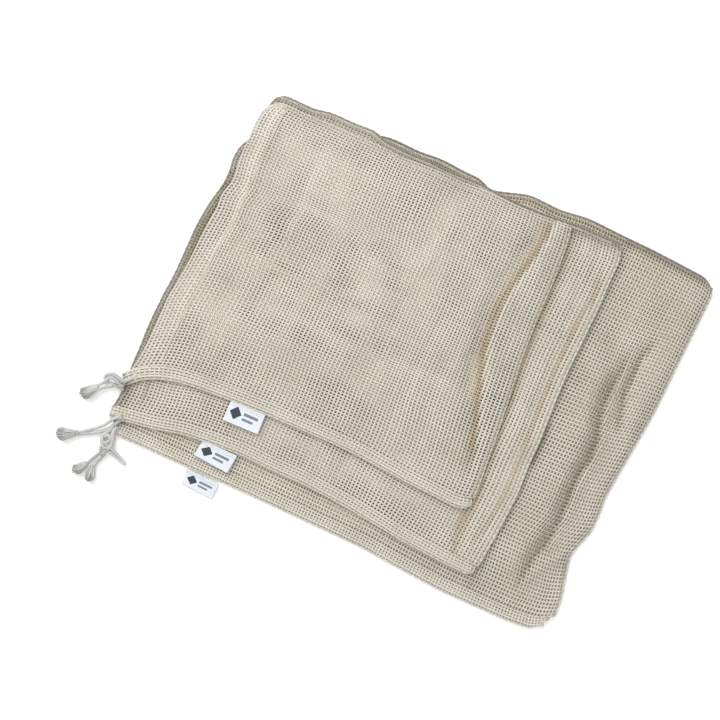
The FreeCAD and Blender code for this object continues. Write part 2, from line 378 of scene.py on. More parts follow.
SMALL.shade = [
    ridge_y(SMALL_VALLEY, 0.86, 5.0, 2.6, span=(-75, 188), soft=30),
    ridge_y(SMALL_VALLEY, 0.50, 9.5, 2.5, span=(-85, 188), soft=40),
    ridge_y(SMALL_VALLEY, 0.10, 24, 2.5, span=(-90, 188), soft=40),
    ridge_y(SMALL_EDGE, 0.42, 4, 3, shift=-1, span=(-110, 188), soft=20),
    ramp_x(0.03, 30, 40),
]

# dense: how much thicker the yarns are
side_band = ridge_y(SIDE_BAND, 1.0, 4.2, span=(-86, 186), soft=20)
LARGE.dense = []
MEDIUM.dense = [
    lambda x, y: 0.26 * np.exp(-((MEDIUM.right(y) - x) / 6.0) ** 2),
    ramp_x(0.25, 100, 10),
]
SMALL.dense = [
    lambda x, y: side_band(x, y) * (0.35 + 0.25 * smooth((y - 20) / 60)),
    lambda x, y: 0.16 * smooth((path_x(SIDE_BAND, y) - x) / 4),
    ridge_y(SMALL_VALLEY, 0.22, 5.0, shift=4.5, span=(-50, 180), soft=20),
]

# lift: painted light, how much lighter the front panel is painted where it lies in the shade of the layers
# round it
LARGE.lift = [
    # painted light on the strip behind the mouth, towards the left, in the shade of the medium bag's hem
    lambda x, y: (0.16 * smooth((60 - x) / 120)
                  * smooth((34 - (y - LARGE.mouth(x))) / 14)),
    # painted light on the strip along the bottom, which shows beside the two upper bags
    lambda x, y: (0.46 * smooth((22 - (LARGE.bottom(x) - y)) / 10) * smooth((x + 60) / 60)
                  * (1 - 0.75 * smooth((x - 110) / 40))),
]
MEDIUM.lift = [
    ridge_y([(96, 187), (100, 145), (101, 107), (101.6, 62), (102, 37), (106, 2), (109, -41),
             (112, -119)], 0.06, 4.0),
]
SMALL.lift = [
    ridge_y(SIDE_BAND, 0.10, 4.6, span=(-86, 186), soft=20),
    ridge_y(SMALL_VALLEY, 0.08, 4.5, shift=5.5, span=(-50, 180), soft=20),
]


# ------------------------------------------------------------------ plan and lying surfaces
def round_corners(bag, x, y):
    """Pulls points near the corners in plan onto a rounded outline."""
    x, y = np.array(x, float), np.array(y, float)
    for at_right, at_bottom, radius in bag.corners:
        row = np.clip(y, bag.mouth(x), bag.bottom(x))
        from_side = (bag.right(row) - x) if at_right else (x - bag.left(row))
        from_end = (bag.bottom(x) - y) if at_bottom else (y - bag.mouth(x))
        out_x = (radius - np.clip(from_side, -1.5, radius)) / radius
        out_y = (radius - np.clip(from_end, -1.5, radius)) / radius
        round_x = out_x * np.sqrt(np.maximum(1 - out_y ** 2 / 2, 0))
        round_y = out_y * np.sqrt(np.maximum(1 - out_x ** 2 / 2, 0))
        near = (from_side < radius) & (from_end < radius)
        move_x = np.where(near, (out_x - round_x) * radius, 0.0)
        move_y = np.where(near, (out_y - round_y) * radius, 0.0)
        x = x + (-move_x if at_right else move_x)
        y = y + (-move_y if at_bottom else move_y)
    return x, y


def plan(bag, across, down, inset):
    """Where a point lies: across from the left along the mouth, down from mouth to bottom."""
    x = -250 + 400 * across
    for _ in range(12):
        start = bag.mouth(x) + inset
        y = start + (bag.bottom(x) - start) * down
        x = bag.left(y) + (bag.right(y) - bag.left(y)) * across
    return x, y


def edge_distance(bag, x, y):
    """Rough distance to the nearest side or bottom edge (not the mouth)."""
    return np.minimum(np.minimum(x - bag.left(y), bag.right(y) - x), bag.bottom(x) - y)


RASTER_STEP = 2.0
RASTER_X, RASTER_Y = np.arange(-300, 301, RASTER_STEP), np.arange(-260, 261, RASTER_STEP)


def blur(field, sigma=2.0):
    reach = int(sigma * 2.5)
    kernel = np.exp(-np.arange(-reach, reach + 1) ** 2 / (2.0 * sigma * sigma))
    kernel /= kernel.sum()
    field = np.pad(field, reach, mode="edge")
    for axis in (1, 0):
        field = np.apply_along_axis(lambda row: np.convolve(row, kernel, "same"), axis, field)
    return field[reach:-reach, reach:-reach]


def dilate(field, reach=2):
    offsets = range(-reach, reach + 1)
    return np.max([np.roll(field, (j, i), (0, 1)) for j in offsets for i in offsets], axis=0)


def lay_bags():
    """Gives each bag the heights of its base and its front on the raster."""
    x, y = np.meshgrid(RASTER_X, RASTER_Y)
    top = np.zeros(x.shape)  # height of everything already laid down
    for bag in BAGS:
        inside = ((x > bag.left(y)) & (x < bag.right(y))
                  & (y > bag.mouth(x)) & (y < bag.bottom(x)))
        bag.base = np.maximum(blur(dilate(top)), top) + bag.gap
        noise = (value_noise(x.shape, (26, 26), bag.seed) * 0.7
                 + value_noise(x.shape, (11, 11), bag.seed + 1) * 0.35
                 + value_noise(x.shape, (60, 9), bag.seed + 2) * 0.45)
        relief = sum(field(x, y) for field in bag.relief)
        loft = np.maximum(bag.loft + relief + noise, 0.9)
        from_right = np.maximum(bag.right(y) - x, 0)
        rim = ((1 - np.exp(-np.maximum(edge_distance(bag, x, y), 0) / 4.5))
               * (1 - 0.8 * np.exp(-from_right / bag.right_soft)))
        bag.front = bag.base + 0.5 + loft * rim
        in_hem = y < bag.mouth(x) + HEM + 1
        cover = np.where(in_hem, bag.base + 3.2, bag.front + 1.0)
        top = np.where(inside, np.maximum(cover, top), top)


def sample(field, x, y):
    column = np.clip((x - RASTER_X[0]) / RASTER_STEP, 0, len(RASTER_X) - 1.001)
    row = np.clip((y - RASTER_Y[0]) / RASTER_STEP, 0, len(RASTER_Y) - 1.001)
    i, j = column.astype(int), row.astype(int)
    across, down = column - i, row - j
    return ((field[j, i] * (1 - across) + field[j, i + 1] * across) * (1 - down)
            + (field[j + 1, i] * (1 - across) + field[j + 1, i + 1] * across) * down)


lay_bags()


# ------------------------------------------------------------------ mesh helpers
def store(mesh, key, values, kind="FLOAT", field="value"):
    attribute = mesh.attributes.new(key, kind, "POINT")
    attribute.data.foreach_set(field, np.asarray(values, np.float32).ravel())


def mesh_object(name, verts, quads, uv, attributes):
    mesh = bpy.data.meshes.new(name)
    quads = np.asarray(quads, np.int32)
    mesh.vertices.add(len(verts))
    mesh.vertices.foreach_set("co", (verts * MM).astype(np.float32).ravel())
    mesh.loops.add(quads.size)
    mesh.loops.foreach_set("vertex_index", quads.ravel())
    mesh.polygons.add(len(quads))
    mesh.polygons.foreach_set("loop_start", np.arange(0, quads.size, 4, dtype=np.int32))
    mesh.polygons.foreach_set("use_smooth", np.full(len(quads), True))
    mesh.update(calc_edges=True)
    mesh.validate()
    layer = mesh.uv_layers.new(name="OFBake")
    layer.data.foreach_set("uv", uv[quads.ravel()].astype(np.float32).ravel())
    for key, values in attributes.items():
        store(mesh, key, values)
    ob = bpy.data.objects.new(name, mesh)
    bpy.context.scene.collection.objects.link(ob)
    return ob


def dress(ob, material):
    ob.data.materials.clear()
    ob.data.materials.append(MATERIALS[material])


class TubeMesh:
    """Collects tubes with four or six sides that end up in one object."""

    def __init__(self):
        self.verts, self.quads, self.attributes = [], [], {}
        self.count = 0

    def tube(self, centre, side, normal, half_width, half_height, sides=4, closed=False,
             **attributes):
        """Tubes round (threads, samples, 3) or (samples, 3) centres; attributes per sample."""
        half_width, half_height = (np.asarray(half)[..., None]
                                   for half in (half_width, half_height))
        angles = [2 * math.pi * k / sides for k in range(sides)]
        rings = np.stack([centre + side * (half_width * math.cos(angle))
                          + normal * (half_height * math.sin(angle)) for angle in angles], axis=-2)
        rings = rings.reshape(-1, *rings.shape[-3:])
        shape = rings.shape[:3]
        index = np.arange(np.prod(shape)).reshape(shape)
        beside = np.roll(index, -1, axis=2)
        if closed:
            corners = index, beside, np.roll(beside, -1, axis=1), np.roll(index, -1, axis=1)
        else:
            corners = index[:, :-1], beside[:, :-1], beside[:, 1:], index[:, 1:]
        quads = [np.stack(corners, -1).reshape(-1, 4)]
        if not closed:
            cap_faces = ([0, 1, 2, 3], [3, 4, 5, 0])[:sides // 2 - 1]
            for end, order in ((0, -1), (-1, 1)):
                quads += [index[:, end][:, face][:, ::order] for face in cap_faces]
        self.quads.append(np.vstack(quads) + self.count)
        self.verts.append(rings.reshape(-1, 3))
        for key, value in attributes.items():
            spread = np.broadcast_to(np.asarray(value, float)[..., None], shape)
            self.attributes.setdefault(key, []).append(spread.ravel())
        self.count += index.size

    def make(self, name, replaced, material):
        verts = np.vstack(self.verts)
        low, high = verts.min(0), verts.max(0)
        uv = (verts[:, :2] - low[:2]) / (high - low)[:2].max() * 0.98 + 0.01
        attributes = {key: np.concatenate(parts) for key, parts in self.attributes.items()}
        ob = mesh_object(name, verts, np.vstack(self.quads), uv, attributes)
        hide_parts(replaced)
        dress(ob, material)
        return ob


def unit(vectors):
    return vectors / np.maximum(np.linalg.norm(vectors, axis=-1, keepdims=True), 1e-9)


def square_to(vectors, tangents):
    """Unit vectors nearest to the given ones at right angles to the tangents."""
    return unit(vectors - tangents * (vectors * tangents).sum(-1, keepdims=True))


def tangents_of(path):
    return unit(np.gradient(path, axis=0))


def grid_normals(points):
    return unit(np.cross(np.gradient(points, axis=1), np.gradient(points, axis=0)))


def arc_length(path):
    return np.concatenate([[0], np.cumsum(np.linalg.norm(np.diff(path, axis=0), axis=1))])


def along(path, lengths, at):
    return np.stack([np.interp(at, lengths, path[:, k]) for k in range(3)], -1)


def path_frames(path):
    """Side and normal along a path, carried without twisting."""
    tangents = tangents_of(path)
    normals = np.zeros_like(path)
    start = np.array([0, 1.0, 0]) if abs(tangents[0] @ UP) > 0.9 else UP
    current = unit(start - tangents[0] * (start @ tangents[0]))
    for i, tangent in enumerate(tangents):
        current = unit(current - tangent * (current @ tangent))
        normals[i] = current
    return np.cross(tangents, normals), normals


def resample(points, step):
    """Catmull-Rom curve through the points, evenly spaced."""
    points = np.asarray(points, float)
    padded = np.vstack([2 * points[0] - points[1], points, 2 * points[-1] - points[-2]])
    t = np.linspace(0, 1, 24, endpoint=False)[:, None]
    parts = []
    for p0, p1, p2, p3 in zip(padded, padded[1:], padded[2:], padded[3:]):
        parts.append(0.5 * ((2 * p1) + (-p0 + p2) * t + (2 * p0 - 5 * p1 + 4 * p2 - p3) * t ** 2
                            + (-p0 + 3 * p1 - 3 * p2 + p3) * t ** 3))
    dense = np.vstack(parts + [points[-1:]])
    lengths = arc_length(dense)
    count = max(3, int(lengths[-1] / step) + 1)
    return along(dense, lengths, np.linspace(0, lengths[-1], count))


# ------------------------------------------------------------------ woven net
def over_under(shape):
    return np.where(np.indices(shape).sum(0) % 2 == 0, 1.0, -1.0)


def weave(mesh, points, widths, seed, dense, **paint):
    """Net of single yarns: points[j, i] are the crossings, i along the mouth, j in depth."""
    grid = points.shape[:2]
    normals = grid_normals(points)
    random = np.random.RandomState(seed)
    jitter = [random.normal(0, 0.022, count) for count in grid[::-1]]
    tones = [random.normal(0, 1, count) for count in grid[::-1]]
    runs = [unit(np.gradient(points, axis=axis)) for axis in (0, 1)]
    # first the yarns that run in depth, then those along the mouth
    for k, (sign, dense_share) in enumerate(((1, 1.0), (-1, 0.75))):
        def turned(field):
            return field.swapaxes(0, 1) if k == 0 else field

        centre, normal, run, sideways = map(turned, (points, normals, runs[k], runs[1 - k]))
        shape = centre.shape[:2]
        wander = 0.13 * value_noise(shape, (1.0, 9), seed + 5 + k)
        thick = (1 + 0.08 * value_noise(shape, (1.0, 5), seed + 7 + k)
                 + 0.10 * turned(value_noise(grid, (16, 22), seed + 9 + k)) + jitter[k][:, None])
        thick = thick * (1 + dense_share * turned(dense))
        height = sign * 0.34 * turned(over_under(grid))
        mesh.tube(centre + sideways * wander[..., None] + normal * height[..., None],
                  unit(np.cross(run, normal)), normal,
                  widths[k] / 2 * thick, 0.25 * widths[k] * thick,
                  tone=tones[k][:, None], along=np.arange(shape[1]) * 3.0,
                  **{key: turned(field) for key, field in paint.items()})


def panel(bag, side):
    is_front = side == "front"
    width = float(bag.right(0) - bag.left(0))
    depth = float(bag.bottom(-50) - bag.mouth(-50) - HEM)
    columns, rows = int(round(width / bag.cell[0])), int(round(depth / bag.cell[1]))
    coarse = 1.0
    across, down = np.meshgrid(np.linspace(0, 1, columns + 1), np.linspace(0, 1, rows + 1))
    # the weave is not quite even: cells open and close a little over the cloth
    inner = np.sin(np.pi * across) ** 0.5 * np.sin(np.pi * down) ** 0.5
    seed = bag.seed + (20 if is_front else 70)
    shape = across.shape
    across = across + 0.55 / columns * inner * (
        2.4 * value_noise(shape, (26, 12), seed) + value_noise(shape, (70, 5), seed + 1) * 0.45)
    down = down + 0.55 / rows * inner * (
        2.4 * value_noise(shape, (12, 26), seed + 2) + value_noise(shape, (5, 70), seed + 3) * 0.45)
    x, y = plan(bag, across, down, HEM - 1.5)
    edge = edge_distance(bag, x, y)
    x, y = round_corners(bag, x, y)
    base = sample(bag.base, x, y)
    # both panels meet at mid height along the edges
    middle = base + 0.4 + 0.6
    clear = 1 - np.exp(-np.maximum(edge, 0) / 3.0)
    level = np.maximum(sample(bag.front, x, y), base + 1.1) if is_front else base + 0.4
    z = level * clear + middle * (1 - clear)
    if is_front:
        by_hem = np.exp(-np.maximum((y - bag.mouth(x) - HEM), 0) / 7.0)
        z = z * (1 - by_hem) + np.minimum(base + 2.3, z + 1.8) * by_hem
    # painted shade: the left and bottom rims are painted greyer and darker
    rim = np.maximum(np.minimum(x - bag.left(y), bag.bottom(x) - y), 0)
    mesh = TubeMesh()
    # painted light: the back panel is painted lighter away from its edges, which brightens the shade seen
    # through the front's holes
    weave(mesh, np.stack([x, y, z], -1), [strand * coarse for strand in bag.strand],
          bag.seed + (0 if is_front else 100),
          dense=strongest(bag.dense if is_front else [], x, y),
          shade=strongest(bag.shade, x, y), dim=bag.rim_grey_shade * np.exp(-(rim / 9.5) ** 2),
          lift=strongest(bag.lift, x, y) if is_front else 0.85 * smooth((edge - 4) / 6))
    return mesh.make(f"{bag.name}_{side}_net", f"{bag.name}_{side}_net_panel",
                     "cotton_net_large" if bag is LARGE else "cotton_net")


# ------------------------------------------------------------------ cord sleeve along the mouth
# shift and rise place the cord in its sleeve; waves is how strongly it follows the gathers
CORD_RUN = {
    "front": dict(shift=-2.6, rise=1.85, radius=1.4, phase=1.9, waves=1.0),
    "back": dict(shift=3.0, rise=1.1, radius=1.2, phase=0.4, waves=0.35),
}


def sleeve_shape(side, offset):
    """Centre height and half height, offset mm from the sleeve's middle towards the panel."""
    if side == "front":
        return (1.05 + 0.80 * smooth((offset + 7.0) / 4.5) + 0.40 * smooth((offset + 1.5) / 5),
                0.36 + 1.00 * np.exp(-((offset + 2.6) / 2.9) ** 2))
    return (0.50 + 0.20 * smooth((offset + 7.0) / 4) + 0.35 * smooth((offset + 1.5) / 4),
            0.36 + 0.90 * np.exp(-((offset - 3.0) / 3.0) ** 2))


def hem_centre(bag):
    """Points along the middle of the sleeve, on the bag's base."""
    count = int(round((bag.right(-100) - bag.left(-100)) / bag.cell[0])) + 1
    x, y = plan(bag, np.linspace(0, 1, count), np.zeros(count), 0.0)
    return np.stack([x, y + HEM / 2, sample(bag.base, x, y + HEM / 2)], -1)


def sleeve_profile(side, count):
    """Cross-section of the sleeve, evenly spaced: offsets towards the panel, and heights."""
    angle = np.linspace(0, 2 * np.pi, 400, endpoint=False)
    offset = -np.cos(angle) * HEM / 2 * (0.98 if side == "front" else 0.93)
    centre, half = sleeve_shape(side, offset)
    height = centre + half * np.sign(np.sin(angle)) * np.abs(np.sin(angle)) ** 0.5
    offset, height = np.append(offset, offset[0]), np.append(height, height[0])
    lengths = np.concatenate([[0], np.cumsum(np.hypot(np.diff(offset), np.diff(height)))])
    at = np.linspace(0, lengths[-1], count, endpoint=False) + lengths[-1] / count / 2
    return np.interp(at, lengths, offset), np.interp(at, lengths, height)


def casing(bag, side, hem):
    around_count = 10
    shape = (len(hem), around_count)
    offset, height = sleeve_profile(side, around_count)
    from_end = np.minimum(hem[:, 0] - hem[0, 0], hem[-1, 0] - hem[:, 0])
    flat = 1 - 0.55 * np.exp(-from_end / 5.0)
    tangents = tangents_of(hem)
    normals = square_to(UP, tangents)
    sides = np.cross(normals, tangents)
    points = (hem[:, None, :] + sides[:, None, :] * offset[None, :, None]
              + normals[:, None, :] * (height[None, :] * flat[:, None])[..., None])
    points[..., 0], points[..., 1] = round_corners(bag, points[..., 0], points[..., 1])
    runs = tangents[:, None, :] + np.zeros_like(points)
    around = unit(np.roll(points, -1, axis=1) - np.roll(points, 1, axis=1))
    outward = unit(np.cross(runs, around))
    from_centre = points - points.mean(axis=1, keepdims=True)
    outward = np.where((from_centre * outward).sum(-1, keepdims=True) < 0, -outward, outward)
    seed = bag.seed + (200 if side == "front" else 207)
    random = np.random.RandomState(seed)
    thick = 1 + 0.12 * value_noise(shape, (5, 1.0), seed)
    step = outward * (0.25 * over_under(shape))[..., None]
    long_width, hoop_width = (strand * 1.08 for strand in bag.strand)
    # painted light: the back sleeve, under the front one, is painted lighter
    lift = 0.0 if side == "front" else 0.85
    mesh = TubeMesh()
    mesh.tube(*(field.swapaxes(0, 1) for field in (points + step, around, outward)),
              long_width / 2 * thick.T, 0.25 * long_width * thick.T,
              tone=random.normal(0, 1, (around_count, 1)), lift=lift)
    mesh.tube(points - step, runs, outward, hoop_width / 2 * thick, 0.25 * hoop_width * thick,
              closed=True, tone=random.normal(0, 1, (len(hem), 1)), lift=lift)
    return mesh.make(f"{bag.name}_{side}_casing_net", f"{bag.name}_{side}_casing", "casing_net")


# ------------------------------------------------------------------ cords and tufts
def rope(mesh, points, radius, phase, pitch=7.5, step=0.75):
    """Twisted cord: three plies laid round one another."""
    path = resample(points, step)
    side, normal = path_frames(path)
    lengths = arc_length(path)
    radius = radius * (1 + 0.04 * np.sin(lengths / 11.0 + phase))
    for k in range(3):
        angle = 2 * np.pi * (lengths / pitch + k / 3) + phase
        outward = side * np.cos(angle)[:, None] + normal * np.sin(angle)[:, None]
        ply = path + outward * (0.50 * radius)[:, None]
        tangents = tangents_of(ply)
        ply_normal = square_to(outward, tangents)
        mesh.tube(ply, np.cross(tangents, ply_normal), ply_normal, 0.56 * radius, 0.56 * radius,
                  sides=6, tone=ply_random.normal(0, 0.6), along=lengths)


def tuft(mesh, neck, tip, neck_radius, tip_radius, yarns, thickness, seed):
    """Frayed cord end: loose yarns that spread from the neck to the blunt, ragged tip."""
    neck, tip = np.array(neck, float), np.array(tip, float)
    length = np.linalg.norm(tip - neck)
    tangent = (tip - neck) / length
    side = unit(np.cross(tangent, UP))
    normal = np.cross(side, tangent)
    random = np.random.RandomState(seed)
    share = np.linspace(0, 1, 11)
    for k in range(yarns):
        angle = 2 * np.pi * k * 0.381966 + random.uniform(-0.3, 0.3)
        place = math.sqrt((k + 0.5) / yarns) * random.uniform(0.9, 1.06)
        reach = length * (1.0 - 0.20 * place ** 2 + random.uniform(-0.14, 0.06))
        spread = np.clip(share * 1.1, 0, 1) ** 0.8
        swell = neck_radius * place + (tip_radius - neck_radius) * place * spread
        wobble = random.uniform(-1, 1, 4)
        angle = angle + 0.5 * wobble[0] * share
        sway = 0.7 * wobble[2] * share ** 2 * np.sin(share * 7.0 + wobble[3] * 3)
        yarn = (neck + tangent * (reach * share)[:, None]
                + side * (swell * np.cos(angle))[:, None]
                + normal * (swell * 0.66 * np.sin(angle))[:, None])
        yarn = yarn + side * sway[:, None] + normal * (0.5 * wobble[1] * share)[:, None]
        yarn[:, 2] = np.maximum(yarn[:, 2], 0.6)
        width = thickness * (1 - 0.15 * share) * random.uniform(0.85, 1.15)
        # painted shade: the yarn tips are painted darker, for the shade in the gaps at the tuft's end
        end = np.clip((share - 0.72) / 0.28, 0, 1)
        mesh.tube(yarn, *path_frames(yarn), width, width, tone=random.normal(0, 1.6),
                  along=share * 12, shade=0.9 * end * (0.4 + 0.6 * random.uniform()))


def knot_points(centre, size, turn):
    """A closed trefoil, squeezed flat."""
    angle = np.linspace(0, 1, 48) * 2 * np.pi + turn
    loop = np.stack([np.sin(angle) + 2 * np.sin(2 * angle), np.cos(angle) - 2 * np.cos(2 * angle),
                     -np.sin(3 * angle)], -1)
    return np.array(centre, float) + loop * np.array([size / 3.3, size / 3.3, size * 0.42])


# ------------------------------------------------------------------ materials
def add_node(tree, kind, inputs=None, **settings):
    """A node; each input is either linked to a socket or set to a value."""
    node = tree.nodes.new(kind)
    for key, value in settings.items():
        setattr(node, key, value)
    for key, value in (inputs or {}).items():
        if isinstance(value, bpy.types.NodeSocket):
            tree.links.new(value, node.inputs[key])
        else:
            node.inputs[key].default_value = value
    return node


def math_socket(tree, operation, *values, clamp=False):
    return add_node(tree, "ShaderNodeMath", dict(enumerate(values)), operation=operation,
                    use_clamp=clamp).outputs[0]


def mix_color(tree, factor, first, second, blend="MIX"):
    return add_node(tree, "ShaderNodeMix", data_type="RGBA", blend_type=blend,
                    inputs={"Factor": factor, "A": first, "B": second}).outputs["Result"]


def map_range(tree, value, **limits):
    """limits: From_Min, To_Max and so on."""
    inputs = {key.replace("_", " "): limit for key, limit in limits.items()}
    return add_node(tree, "ShaderNodeMapRange", {"Value": value, **inputs}).outputs[0]


def new_material(name):
    material = bpy.data.materials.new(name)
    material.use_nodes = True
    return material, material.node_tree, material.node_tree.nodes["Principled BSDF"]


def add_bump(tree, shader, height, strength, distance):
    node = add_node(tree, "ShaderNodeBump",
                    {"Strength": strength, "Distance": distance, "Height": height})
    tree.links.new(node.outputs[0], shader.inputs["Normal"])


def srgb(*color):
    """Linear RGBA from 0..255 values."""
    return (*((c / 255.0) / 12.92 if c <= 10 else ((c / 255.0 + 0.055) / 1.055) ** 2.4
              for c in color), 1)


def yarn_material(name, base, dark, light, roughness=0.92, fibre_scale=900.0, shade_tint=None,
                  lifted=False):
    """Spun yarn: blotchy colour, fine fibre bump, matt. A shade tint also brings in the painted light and
    the painted shade; lifted brings in the painted light alone.
    """
    material, tree, shader = new_material(name)
    place = add_node(tree, "ShaderNodeTexCoord").outputs["Object"]

    def painted(key):
        return add_node(tree, "ShaderNodeAttribute", attribute_name=key).outputs["Fac"]

    def noise(**inputs):
        return add_node(tree, "ShaderNodeTexNoise", {"Vector": place, **inputs}).outputs["Fac"]

    tone = painted("tone")
    blotches = noise(Scale=26.0, Detail=3.0)
    mottle = noise(Scale=420.0, Detail=2.0)
    fibres = noise(Scale=fibre_scale, Detail=4.0, Roughness=0.7)
    depth = math_socket(tree, "MULTIPLY_ADD", tone, 0.05, blotches)
    color = mix_color(tree, map_range(tree, depth, From_Min=0.28, From_Max=0.74),
                      srgb(*dark), srgb(*light))
    color = mix_color(tree, map_range(tree, mottle, From_Min=0.35, From_Max=0.68, To_Max=0.5),
                      color, srgb(*base))
    # painted light mixes in a light cream where the yarn is to look lighter; painted shade multiplies in the
    # shade tint in folds and a dark grey at rims and seams
    if shade_tint or lifted:
        color = mix_color(tree, painted("lift"), color, srgb(240, 224, 198))
    if shade_tint:
        color = mix_color(tree, painted("shade"), color, shade_tint, "MULTIPLY")
        color = mix_color(tree, painted("dim"), color, (0.36, 0.35, 0.30, 1), "MULTIPLY")
    tree.links.new(color, shader.inputs["Base Color"])
    rough = map_range(tree, fibres, To_Min=roughness - 0.1, To_Max=min(1.0, roughness + 0.08))
    tree.links.new(rough, shader.inputs["Roughness"])
    add_bump(tree, shader, fibres, strength=0.5, distance=0.0003)
    shader.inputs["Specular IOR Level"].default_value = 0.18
    shader.inputs["Sheen Weight"].default_value = 0.15
    shader.inputs["Sheen Roughness"].default_value = 0.6
    return material


def label_material():
    """Woven label tape with a plain mark: a dark diamond and two grey bars."""
    material, tree, shader = new_material("label_tape")
    place = add_node(tree, "ShaderNodeUVMap", uv_map="OFBake").outputs[0]
    across, up = add_node(tree, "ShaderNodeSeparateXYZ", {0: place}).outputs[:2]

    def calc(operation, *values):
        return math_socket(tree, operation, *values)

    def box(left, right, low, high):
        in_width = calc("MULTIPLY", calc("GREATER_THAN", across, left),
                        calc("LESS_THAN", across, right))
        in_height = calc("MULTIPLY", calc("GREATER_THAN", up, low), calc("LESS_THAN", up, high))
        return calc("MULTIPLY", in_width, in_height)

    def thread_bands(direction, scale):
        return add_node(tree, "ShaderNodeTexWave", {"Scale": scale, "Vector": place},
                        wave_type="BANDS", bands_direction=direction).outputs["Fac"]

    from_middle = calc("MULTIPLY", calc("ABSOLUTE", calc("SUBTRACT", across, 0.25)), 1.85)
    from_centre_line = calc("ABSOLUTE", calc("SUBTRACT", up, 0.52))
    diamond = calc("LESS_THAN", calc("ADD", from_middle, from_centre_line), 0.31)
    bars = calc("MAXIMUM", box(left=0.46, right=0.86, low=0.54, high=0.68),
                box(left=0.46, right=0.76, low=0.31, high=0.43))
    warp, weft = thread_bands("X", 30.0), thread_bands("Y", 18.0)
    noise = add_node(tree, "ShaderNodeTexNoise", {"Scale": 9.0, "Vector": place}).outputs["Fac"]
    threads = calc("MULTIPLY", warp, weft)
    color = mix_color(tree, noise, srgb(200, 205, 212), srgb(212, 216, 222))
    color = mix_color(tree, calc("MULTIPLY", threads, 0.6), color, (0.9, 0.9, 0.92, 1),
                      "MULTIPLY")
    color = mix_color(tree, diamond, color, srgb(52, 57, 66))
    color = mix_color(tree, bars, color, srgb(112, 118, 128))
    tree.links.new(color, shader.inputs["Base Color"])
    add_bump(tree, shader, threads, strength=0.35, distance=0.0002)
    tree.links.new(map_range(tree, noise, To_Min=0.55, To_Max=0.75), shader.inputs["Roughness"])
    shader.inputs["Specular IOR Level"].default_value = 0.3
    return material


# colours of the painted shade, multiplied into the yarn in its folds and beside the edges of the bags above
WARM_SHADE, GREY_SHADE = (0.62, 0.515, 0.365, 1), (0.50, 0.48, 0.40, 1)
# name, then base, dark and light colours, then what differs from plain yarn
YARNS = (
    ("cotton_net", (196, 189, 178), (187, 180, 167), (203, 197, 187), dict(shade_tint=WARM_SHADE)),
    ("cotton_net_large", (193, 188, 175), (183, 177, 162), (201, 196, 184),
     dict(shade_tint=GREY_SHADE)),
    ("casing_net", (196, 190, 178), (187, 181, 167), (203, 198, 187), dict(lifted=True)),
    ("seam_thread", (191, 186, 173), (182, 176, 162), (198, 193, 182),
     dict(shade_tint=WARM_SHADE)),
    ("stitch_thread", (206, 200, 189), (195, 188, 176), (212, 207, 198), dict(roughness=0.8)),
    ("drawcord", (198, 199, 195), (160, 161, 157), (211, 212, 210),
     dict(roughness=0.85, fibre_scale=1300.0, shade_tint=GREY_SHADE)),
    ("label_thread", (212, 214, 218), (196, 199, 204), (222, 224, 227), dict(roughness=0.75)),
)
MATERIALS = {name: yarn_material(name, *colors, **options) for name, *colors, options in YARNS}
MATERIALS["label_tape"] = label_material()

# ------------------------------------------------------------------ how cloth follows the bodies
GATHER_LEFT = -251.0  # x towards which the mouth is gathered


def lens(bag, x):
    """How far a point of the front panel follows the lifted mouth: the sides stay shut."""
    left = -250.0
    reach = 0.28 * (bag.mouth_end - left)
    return smooth(np.minimum(x - left, bag.mouth_end - x) / reach)


def gathered(bag, points, waves, surface):
    """Displacement of cloth points when the cord is pulled right out.

    The second array holds the pleats that rise only once the bag on top has been lifted away."""
    x, y = points[:, 0], points[:, 1]
    depth = np.clip((y - bag.mouth(x) - HEM) / 150.0, 0, 1)
    fall = (1 - smooth(depth)) ** 1.5
    share = np.clip((x - GATHER_LEFT) / (bag.mouth_end - GATHER_LEFT), 0, 1.05)
    shown, hidden = np.zeros_like(points), np.zeros_like(points)
    shown[:, 0] = -bag.pull * share * fall
    ends = smooth(share / 0.06) * smooth((1 - share) / 0.06)
    pleats = share * 2 * np.pi * 17
    wave = (0.5 + 0.5 * np.sin(pleats + 0.6 * np.sin(share * 31))) * ends * fall * 6.5 * waves
    shown[:, 1] = 1.5 * np.sin(pleats + 1.0) * fall * ends
    new_x, new_y = x + shown[:, 0], y + shown[:, 1]
    free = np.ones(len(points))
    above = bag.above
    if above:
        free = 1 - (smooth((new_y - above.mouth(new_x) + 10) / 7)
                    * smooth((above.right(new_y) + 5 - new_x) / 6))
        _, sewn_right, free_right, free_left = above.label
        free = free * (1 - smooth((new_x - free_left[0] + 10) / 7)
                       * smooth((sewn_right[0] + 10 - new_x) / 7)
                       * smooth((new_y - free_right[1] + 9) / 6))
    shown[:, 2] = wave * free + sample(surface, new_x, new_y) - sample(surface, x, y)
    hidden[:, 2] = wave * (1 - free)
    return shown, hidden


def geometry_group(name):
    tree = bpy.data.node_groups.new(name, "GeometryNodeTree")
    for direction in ("INPUT", "OUTPUT"):
        tree.interface.new_socket("Geometry", in_out=direction,
                                  socket_type="NodeSocketGeometry")
    geometry = add_node(tree, "NodeGroupInput").outputs[0]
    return tree, geometry, add_node(tree, "NodeGroupOutput").inputs[0]


def body_info(tree, body, space="ORIGINAL"):
    return add_node(tree, "GeometryNodeObjectInfo",
                    {"Object": bpy.data.objects["body:" + body]}, transform_space=space).outputs


def vector_math(tree, operation, first, second=None):
    inputs = {0: first}
    if second is not None:
        inputs["Scale" if operation == "SCALE" else 1] = second
    node = add_node(tree, "ShaderNodeVectorMath", inputs, operation=operation)
    return node.outputs["Value" if operation == "LENGTH" else "Vector"]


